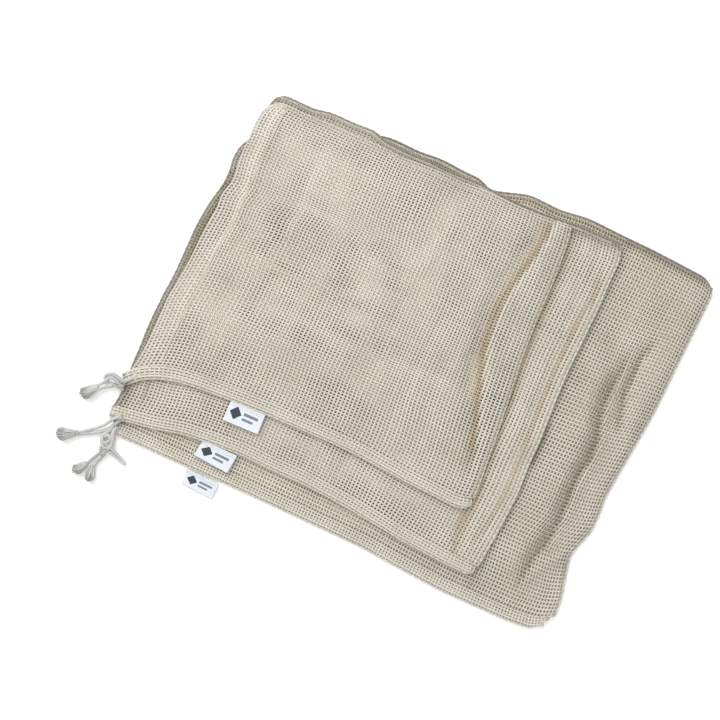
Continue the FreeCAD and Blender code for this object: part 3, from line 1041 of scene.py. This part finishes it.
def set_position(tree, geometry, offset):
    return add_node(tree, "GeometryNodeSetPosition",
                    {"Geometry": geometry, "Offset": offset}).outputs[0]


def pull_modifier(ob, bag, shown, hidden, on_front=False, follow=None):
    """Adds the displacement times the drawn-out share of the cord, read from its body."""
    store(ob.data, "pull", shown * MM, "FLOAT_VECTOR", "vector")
    tree, geometry, result = geometry_group(f"pull_{ob.name}")
    bag_body, front_body = f"{bag.name}_bag", f"{bag.name}_front"

    def vector(operation, *values):
        return vector_math(tree, operation, *values)

    def location(body, *space):
        return body_info(tree, body, *space)["Location"]

    def named(key, kind):
        return add_node(tree, "GeometryNodeInputNamedAttribute", {"Name": key},
                        data_type=kind).outputs["Attribute"]

    cord = f"{bag.name}_drawstring"
    if on_front:
        drawn = vector("SUBTRACT", location(cord), location(bag_body))
    else:
        drawn = location(cord, "RELATIVE")
    share = math_socket(tree, "DIVIDE", vector("LENGTH", drawn), bag.pull * MM)
    offset = vector("SCALE", named("pull", "FLOAT_VECTOR"), share)
    if bag.above:
        store(ob.data, "pull_free", hidden * MM, "FLOAT_VECTOR", "vector")
        gap = vector("LENGTH", vector("SUBTRACT", location(f"{bag.above.name}_bag"),
                                      location(front_body)))
        lifted = math_socket(tree, "DIVIDE", gap, 0.04, clamp=True)
        offset = vector("ADD", offset, vector("SCALE", named("pull_free", "FLOAT_VECTOR"),
                                              math_socket(tree, "MULTIPLY", share, lifted)))
    geometry = set_position(tree, geometry, offset)
    if follow is not None:
        # the cord takes up the lift of the part of the mouth it has slid to
        for key, values in zip(("follow", "stay"), follow):
            store(ob.data, key, values)

        def inverse(matrix):
            return add_node(tree, "FunctionNodeInvertMatrix", {0: matrix}).outputs[0]

        from_bag = inverse(body_info(tree, bag_body)["Transform"])
        relative = add_node(tree, "FunctionNodeMatrixMultiply", {
            0: from_bag, 1: body_info(tree, front_body)["Transform"]}).outputs[0]
        back = inverse(relative)
        position = add_node(tree, "GeometryNodeInputPosition").outputs[0]

        def carried(point, matrix, key):
            moved = add_node(tree, "FunctionNodeTransformPoint", {0: point, 1: matrix}).outputs[0]
            step = vector("SUBTRACT", moved, point)
            return vector("ADD", point, vector("SCALE", step, named(key, "FLOAT")))

        goal = carried(carried(position, relative, "follow"), back, "stay")
        geometry = set_position(
            tree, geometry, vector("SCALE", vector("SUBTRACT", goal, position), share))
    tree.links.new(geometry, result)
    ob.modifiers.new("pull", "NODES").node_group = tree


def coords(ob):
    flat = np.empty(len(ob.data.vertices) * 3, np.float32)
    ob.data.vertices.foreach_get("co", flat)
    return flat.reshape(-1, 3).astype(float) / MM


def set_weights(ob, weights):
    ob.data.attributes["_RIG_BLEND"].data.foreach_set("value", np.asarray(weights, np.float32))


def blend_to_front(ob, bag, weights):
    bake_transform(ob, f"{bag.name}_bag", f"{bag.name}_front", (-0.25, 0, 0), (0.25, 0, 0))
    set_weights(ob, weights)


def on_bag(ob, bag):
    pull_modifier(ob, bag, *gathered(bag, coords(ob), 0.35, bag.base))
    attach(ob, f"{bag.name}_bag")


def on_front(ob, bag, surface):
    points = coords(ob)
    pull_modifier(ob, bag, *gathered(bag, points, 1.0, surface), on_front=True)
    blend_to_front(ob, bag, lens(bag, points[:, 0]))


# ------------------------------------------------------------------ seams and stitches
def seam_tape(mesh, points, width, height, thread, **paint):
    """An overlocked ridge: a rolled core with two looper threads wrapped round it."""
    path = resample(points, 1.5)
    tangents = tangents_of(path)
    normals = square_to(UP, tangents)
    sides = np.cross(normals, tangents)
    lengths = arc_length(path)
    wobble = 1 + 0.08 * np.sin(lengths / 5.0) + 0.06 * np.sin(lengths / 1.9)
    mesh.tube(path, sides, normals, width / 2 * wobble, height / 2 * wobble, sides=6, **paint)
    pitch = 2.3
    at = np.linspace(0, lengths[-1], int(lengths[-1] / pitch * 10))
    core = along(path, lengths, at)
    sides, normals = unit(along(sides, lengths, at)), unit(along(normals, lengths, at))
    for phase, direction in ((0.0, 1), (0.5, -1)):
        angle = 2 * np.pi * (at / pitch * direction + phase)
        loops = (core + sides * ((width / 2 + 0.25) * np.cos(angle))[:, None]
                 + normals * ((height / 2 + 0.22) * np.sin(angle))[:, None])
        tangents = tangents_of(loops)
        outward = square_to(loops - core, tangents)
        mesh.tube(loops, np.cross(tangents, outward), outward, thread, thread * 0.9, **paint)


def stitches(mesh, path, length, gap, thickness):
    """A row of lockstitches lying on the cloth."""
    lengths = arc_length(path)
    pitch = length + gap
    random = np.random.RandomState(5)
    for k in range(int(lengths[-1] / pitch)):
        stitch = along(path, lengths, k * pitch + np.array([0, 0.18, 0.5, 0.82, 1.0]) * length)
        stitch[:, 2] += np.array([-0.5, 0.12, 0.3, 0.12, -0.5])
        stitch[:, 1] += random.uniform(-0.12, 0.12)
        mesh.tube(stitch, *path_frames(stitch), thickness, thickness * 0.8,
                  tone=random.normal(0, 1))


def seam_paths(bag):
    """Points along the left, right and bottom seams."""
    y = np.arange(float(bag.mouth(-220)) + HEM + 1, float(bag.bottom(-220)) - 2, 6.0)
    if bag is SMALL:
        x = np.interp(y, [-114, -83, -50, -19, 17, 68, 133, 178],
                      [-230, -230, -230, -228, -228, -224, -226, -226])
    else:
        x = bag.left(y) + 22
    left = np.stack([x, y, sample(bag.front, x, y) + 0.35], -1)
    inset, rise = 3.2, 1.15
    y = np.arange(float(bag.mouth(bag.mouth_end)) + HEM,
                  float(bag.bottom(float(bag.right(180)))) - 3, 7.0)
    x = bag.right(y) - inset
    right = np.stack([x, y, sample(bag.base, x, y) + rise], -1)
    x = np.arange(float(bag.left(150)) + 8, float(bag.right(180)) - 4, 7.0)
    y = bag.bottom(x) - inset
    return left, right, np.stack([x, y, sample(bag.base, x, y) + rise], -1)


def seams(bag):
    left, right, bottom = seam_paths(bag)
    left_dim_shade, right_dim_shade, bottom_dim_shade = bag.seam_dim_shade
    edge_size = dict(width=2.4, height=1.0, thread=0.32)

    def seam(path, part, replaced, **options):
        mesh = TubeMesh()
        seam_tape(mesh, path, **options)
        return mesh.make(f"{bag.name}_{part}", f"{bag.name}_{replaced}", "seam_thread")

    # the seams get painted shade: a grey darkening, and a warm one on the right seam
    ob = seam(left, "left_seam_ridge", "left_side_seam", width=1.7, height=0.6, thread=0.30,
              dim=left_dim_shade, shade=0.0)
    on_front(ob, bag, bag.front)
    ob = seam(right, "right_seam", "right_side_seam", **edge_size,
              dim=right_dim_shade, shade=bag.right_seam_shade)
    on_bag(ob, bag)
    ob = seam(bottom, "bottom_seam_roll", "bottom_seam", **edge_size, dim=bottom_dim_shade, shade=0.0)
    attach(ob, f"{bag.name}_bag")


def casing_stitches(bag, side, hem):
    """The two stitch rows that close a sleeve."""
    mesh = TubeMesh()
    for offset in (HEM / 2 - 1.6, -HEM / 2 + 0.8):
        centre, half = sleeve_shape(side, offset)
        path = hem.copy()
        path[:, 1] += offset
        path[:, 2] += centre + half * 0.55 + 0.25
        path[:, 0], path[:, 1] = round_corners(bag, path[:, 0], path[:, 1])
        stitches(mesh, path[3:-3], length=2.4, gap=0.9, thickness=0.3)
    return mesh.make(f"{bag.name}_{side}_casing_stitches", f"{bag.name}_{side}_casing_stitching",
                     "stitch_thread")


def cord_run(bag, side, hem):
    """One run of the cord inside its sleeve, from the exit to the right end of the mouth."""
    run = CORD_RUN[side]
    hem_x, hem_y, hem_z = hem.T
    x = np.linspace(hem_x[0] + 1.0, hem_x[-1] - 4, 60)
    path = np.stack([x, np.interp(x, hem_x, hem_y) + run["shift"],
                     np.interp(x, hem_x, hem_z) + run["rise"]], -1)
    mesh = TubeMesh()
    rope(mesh, path, run["radius"], run["phase"], step=1.1)
    ob = mesh.make(f"{bag.name}_cord_{side}_run", f"{bag.name}_drawstring_{side}_run", "drawcord")
    # pulled out, the cord slides along its sleeve and leaves at the left end
    x = coords(ob)[:, 0]
    width = bag.mouth_end - GATHER_LEFT
    new_x = x - bag.pull
    sleeve_x = (new_x - bag.pull * GATHER_LEFT / width) / (1 - bag.pull / width)
    sleeve_x = np.maximum(sleeve_x, hem_x[0])
    old_y, old_z = np.interp(x, hem_x, hem_y), np.interp(x, hem_x, hem_z)
    new_y, new_z = np.interp(sleeve_x, hem_x, hem_y), np.interp(sleeve_x, hem_x, hem_z)
    cloth, hidden = gathered(bag, np.stack([sleeve_x, new_y, old_z], -1), run["waves"] * 0.7,
                             bag.base)
    out = smooth((GATHER_LEFT - new_x) / 60.0)
    new_z = (new_z + cloth[:, 2]) * (1 - out) + (bag.tail_z - run["rise"]) * out
    new_y = new_y * (1 - out) + (bag.exit[1] - run["shift"]) * out
    shown = np.stack([np.full(len(x), -bag.pull), new_y - old_y, new_z - old_z], -1)
    hidden[:, 2] *= 1 - out
    if side == "back":
        pull_modifier(ob, bag, shown, hidden)
        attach(ob, f"{bag.name}_bag")
    else:
        here = lens(bag, x)
        pull_modifier(ob, bag, shown, hidden, on_front=True,
                      follow=(lens(bag, sleeve_x) * (1 - out), here))
        blend_to_front(ob, bag, here)


for bag in BAGS:
    hem = hem_centre(bag)
    on_bag(panel(bag, "back"), bag)
    on_front(panel(bag, "front"), bag, bag.front)
    on_bag(casing(bag, "back", hem), bag)
    on_front(casing(bag, "front", hem), bag, bag.base)
    seams(bag)
    on_bag(casing_stitches(bag, "back", hem), bag)
    on_front(casing_stitches(bag, "front", hem), bag, bag.base)
    cord_run(bag, "back", hem)
    cord_run(bag, "front", hem)


# ------------------------------------------------------------------ cord tails
def cord_tail(bag, legs, knot, tufts, tuft_part="frayed_tuft", **knot_lay):
    """legs and knot are (radius, phase, points) ropes; knot_lay is the lay of the knot's."""
    def finish(mesh, part, replaced):
        ob = mesh.make(f"{bag.name}_cord_{part}", f"{bag.name}_drawstring_{replaced}", "drawcord")
        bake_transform(ob, f"{bag.name}_drawstring", f"{bag.name}_tail", (-0.25, 0, 0), (-0.27, 0, 0))
        points = coords(ob)
        from_exit = np.hypot(points[:, 0] - bag.exit[0], points[:, 1] - bag.exit[1])
        set_weights(ob, smooth((from_exit - 1.5) / 9.0))

    for part, replaced, ropes, lay in (("legs", "tail", legs, {}),
                                       ("knot", "knot", knot, knot_lay)):
        mesh = TubeMesh()
        for radius, phase, points in ropes:
            rope(mesh, points, radius, phase, **lay)
        finish(mesh, part, replaced)
    mesh = TubeMesh()
    for options in tufts:
        tuft(mesh, **options)
    finish(mesh, tuft_part, "frayed_ends")


# the doubled cord arches over itself in a loose overhand knot and ends in one frayed tuft
cord_tail(
    SMALL,
    legs=[
        (1.8, 0.2, [(-246, -129, 9.6), (-250, -136, 9.0), (-254.5, -140.2, 8.6),
                    (-259, -141, 8.4)]),
        (1.7, 1.2, [(-270, -146.5, 4.2), (-274.5, -150, 3.6), (-279, -155.2, 4.4)]),
        (1.7, 2.2, [(-264.5, -149.0, 4.0), (-270, -152.2, 3.2), (-276, -158, 4.2)])],
    knot=[
        (1.85, 0.4, [(-257.5, -140.6, 8.4), (-262, -139.3, 8.8), (-267.5, -138.3, 8.6),
                     (-273, -140.2, 7.4), (-275.2, -144, 5.6), (-272, -147.6, 3.6),
                     (-267, -148.4, 2.6), (-261, -147.8, 3.4), (-256, -147.6, 5.0),
                     (-252.5, -148.6, 5.6)]),
        (1.85, 1.4, [(-253.5, -145.4, 6.4), (-257.5, -145.2, 7.0), (-262, -143.4, 7.6),
                     (-266.5, -142.0, 7.6), (-270.5, -142.8, 6.6), (-272, -146, 5.2),
                     (-274.5, -149.6, 4.4)]),
        (1.7, 2.1, [(-256, -143.6, 4.0), (-262, -146.4, 3.0), (-267, -149, 3.2),
                    (-271, -151.8, 3.4)])],
    tufts=[dict(neck=(-277.2, -155.4, 4.6), tip=(-289.5, -170.5, 4.9), neck_radius=2.9,
                tip_radius=6.3, yarns=120, thickness=0.5, seed=3)])

# two legs side by side, drawn together at a small tight knot before the tuft
cord_tail(
    MEDIUM,
    legs=[
        (1.85, 0.9, [(-241, -173.5, 9.0), (-246.5, -176.5, 8.8), (-250, -180.5, 8.4),
                     (-254.5, -187.2, 6.4), (-262, -193.6, 3.6), (-269.5, -200, 2.6),
                     (-275, -204.4, 2.6)]),
        (1.85, 2.0, [(-239, -174.5, 7.0), (-243.5, -178.5, 6.6), (-248, -187.2, 5.2),
                     (-254, -193, 3.4), (-262, -198.8, 2.2), (-269.5, -203, 2.1),
                     (-275.5, -206, 2.4)])],
    knot=[(1.25, 2, knot_points((-276.4, -205.6, 3.0), size=2.9, turn=0.7))],
    tufts=[dict(neck=(-277.6, -206.3, 3.6), tip=(-294.5, -214.6, 4.8), neck_radius=2.4,
                tip_radius=6.4, yarns=120, thickness=0.5, seed=8)],
    pitch=6.5, step=0.9)

# a bunched start, a firm knot, a slip loop that sticks out and two frayed ends
cord_tail(
    LARGE,
    legs=[
        (2.2, 0.3, [(-243, -184, 4.2), (-243.6, -190.5, 4.2), (-241.2, -198, 4.0),
                    (-240.2, -204, 3.8), (-243, -208.6, 4.6)]),
        (2.2, 1.3, [(-246, -185, 4.0), (-248.5, -191.5, 4.2), (-251.6, -197.4, 3.6),
                    (-250.4, -202.4, 3.8), (-246, -207.4, 4.4)]),
        (1.7, 1.3, [(-250.5, -198.5, 3.2), (-246.5, -194.8, 5.4), (-243.2, -198.6, 5.2),
                    (-246.6, -203.5, 5.4)]),
        (1.45, 0.6, [(-248.5, -202.8, 5.4), (-241, -205.0, 4.2), (-233, -208.0, 2.6),
                     (-224.5, -211.2, 2.0), (-220.8, -212.8, 1.9), (-221.6, -214.4, 1.9),
                     (-226, -213.0, 1.9), (-234, -210.4, 2.4), (-242, -208.0, 3.6)]),
        (1.75, 0.1, [(-246.5, -212.6, 3.6), (-249.8, -218.4, 2.6), (-253.5, -226.5, 2.6),
                     (-255.5, -230.5, 3.0)]),
        (1.75, 1.1, [(-243, -213.4, 3.2), (-245.5, -220, 2.4), (-248, -228.5, 2.6),
                     (-248.6, -231, 3.0)])],
    knot=[(1.6, 4, knot_points((-245, -210, 4.4), size=4.6, turn=0.2))],
    tufts=[dict(neck=(-254.2, -228.0, 3.4), tip=(-263.4, -241.4, 4.2), neck_radius=2.1,
                tip_radius=5.4, yarns=84, thickness=0.48, seed=5),
           dict(neck=(-248.2, -229.0, 3.2), tip=(-244.8, -243.4, 4.0), neck_radius=2.1,
                tip_radius=4.6, yarns=76, thickness=0.48, seed=6)],
    tuft_part="frayed_tufts", pitch=6.5, step=0.9)


# ------------------------------------------------------------------ labels sewn into the mouth
def sewn_edge(ob, bag, root):
    """Holds the sewn edge of the tape on the mouth while the tape turns over."""
    tree, geometry, result = geometry_group(f"sewn_{ob.name}")
    front = body_info(tree, f"{bag.name}_front", "RELATIVE")["Transform"]
    root = tuple(root * MM)
    moved = add_node(tree, "FunctionNodeTransformPoint", {0: root, 1: front}).outputs[0]
    offset = vector_math(tree, "SUBTRACT", moved, root)
    tree.links.new(set_position(tree, geometry, offset), result)
    ob.modifiers.new("sewn_edge", "NODES").node_group = tree


def tape_mesh(name, points):
    """A thin closed sheet round a grid of points."""
    normals = grid_normals(points)
    normals = np.where(normals[..., 2:3] < 0, -normals, normals)
    half = 0.36 / 2
    rows, columns = points.shape[:2]
    across, down = np.meshgrid(np.linspace(0, 1, columns), np.linspace(0, 1, rows))
    uv = np.stack([0.01 + across * 0.98, 0.99 - down * 0.98], -1).reshape(-1, 2)
    count = rows * columns
    index = np.arange(count).reshape(rows, columns)
    top = np.stack([index[1:, :-1], index[1:, 1:], index[:-1, 1:], index[:-1, :-1]],
                   -1).reshape(-1, 4)
    edge = np.concatenate([index[0, :], index[1:, -1], index[-1, -2::-1], index[-2:0:-1, 0]])
    after = np.roll(edge, -1)
    quads = [top, (top + count)[:, ::-1],
             np.stack([edge, after, after + count, edge + count], -1)]
    verts = np.vstack([(points + normals * offset).reshape(-1, 3) for offset in (half, -half)])
    # the underside takes its colour from a plain corner of the mark
    return mesh_object(name, verts, np.vstack(quads), np.vstack([uv, uv * (0.16, 0.1)]), {})


def label(bag):
    sewn_left, sewn_right, free_right, free_left = np.array(bag.label, float)
    across, down = np.meshgrid(np.linspace(0, 1, 41), np.linspace(0, 1, 23))
    place = (sewn_left * ((1 - across) * (1 - down))[..., None]
             + sewn_right * (across * (1 - down))[..., None]
             + free_right * (across * down)[..., None]
             + free_left * ((1 - across) * down)[..., None])
    middle_x = np.mean([corner[0] for corner in bag.label])
    z = (float(sample(bag.base, middle_x, sewn_left[1] + 6)) + 1.35 + bag.label_drop * down
         + 0.5 * np.sin(across * 3.1 + 0.4) * (0.4 + down)
         + 0.55 * down ** 2 * np.cos(across * 5.0 + bag.label_phase))
    z = z + 1.0 * smooth((down - 0.8) / 0.2) * (across - 0.5) ** 2 * 2
    points = np.dstack([place, z])
    tape = tape_mesh(f"{bag.name}_label_tape", points)
    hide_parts(f"{bag.name}_label")
    dress(tape, "label_tape")
    # two short rows of stitches hold the tape in the mouth seam
    mesh = TubeMesh()
    for row in (2, 4):
        stitches(mesh, points[row] + 0.35 * UP, length=1.9, gap=0.6, thickness=0.28)
    thread = mesh.make(f"{bag.name}_label_stitches", f"{bag.name}_label_stitching",
                       "label_thread")
    root = np.array([*(sewn_left + sewn_right) / 2, float(z[0].mean())])
    for ob in (tape, thread):
        sewn_edge(ob, bag, root)
        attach(ob, f"{bag.name}_label_body")


for bag in BAGS:
    label(bag)


# ------------------------------------------------------------------ floor, light, camera (metres)
def build_floor(half=6, z=-0.0008):
    mesh = bpy.data.meshes.new("floor")
    mesh.from_pydata([(-half, -half, z), (half, -half, z), (half, half, z), (-half, half, z)],
                     [], [(0, 1, 2, 3)])
    ob = bpy.data.objects.new("floor", mesh)
    bpy.context.scene.collection.objects.link(ob)
    material, _, shader = new_material("floor_white")
    shader.inputs["Base Color"].default_value = (0.93, 0.93, 0.93, 1)
    shader.inputs["Roughness"].default_value = 0.9
    shader.inputs["Specular IOR Level"].default_value = 0.1
    mesh.materials.append(material)


def area_light(name, location, size, power, target=(-0.03, 0.0, 0.0)):
    light = bpy.data.lights.new(name, "AREA")
    light.shape = "DISK"
    light.size = size
    light.energy = power
    ob = bpy.data.objects.new(name, light)
    bpy.context.scene.collection.objects.link(ob)
    ob.location = location
    ob.rotation_mode = "QUATERNION"
    ob.rotation_quaternion = (Vector(target) - Vector(location)).to_track_quat("-Z", "Y")


def build_world(strength):
    scene = bpy.context.scene
    # the scene may come without a world, or its world without a background node
    world = bpy.data.worlds.new("World") if scene.world is None else scene.world
    scene.world = world
    world.use_nodes = True
    nodes = world.node_tree.nodes
    background = nodes.get("Background") or nodes.new("ShaderNodeBackground")
    background.inputs["Color"].default_value = (1, 1, 1, 1)
    background.inputs["Strength"].default_value = strength
    scene.view_settings.view_transform = "Standard"


def build_camera(target, azimuth, elevation, distance, view_angle):
    """Looks at the target from the -y side, turned by azimuth towards +x; angles in degrees."""
    azimuth, elevation = math.radians(azimuth), math.radians(elevation)
    backward = Vector((math.sin(azimuth) * math.cos(elevation),
                       -math.cos(azimuth) * math.cos(elevation), math.sin(elevation)))
    right = Vector((math.cos(azimuth), math.sin(azimuth), 0.0))
    turn = Matrix((right, backward.cross(right), backward)).transposed().to_4x4()
    data = bpy.data.cameras.new("camera")
    camera = bpy.data.objects.new("camera", data)
    bpy.context.scene.collection.objects.link(camera)
    data.sensor_width = 36.0
    data.lens = data.sensor_width / 2 / math.tan(math.radians(view_angle) / 2)
    data.clip_start, data.clip_end = 0.05, 50
    camera.matrix_world = Matrix.Translation(Vector(target) + backward * distance) @ turn
    bpy.context.scene.camera = camera


build_floor()
area_light("key", location=(-1.35, 0.80, 1.20), size=1.8, power=34.0)
area_light("top_fill", location=(0.4, -0.5, 2.2), size=2.4, power=20.0)
build_world(strength=0.72)
build_camera(target=(-0.051, -0.025, 0.0), azimuth=24.0, elevation=82.0, distance=0.990,
             view_angle=40.0)

bpy.context.view_layer.update()
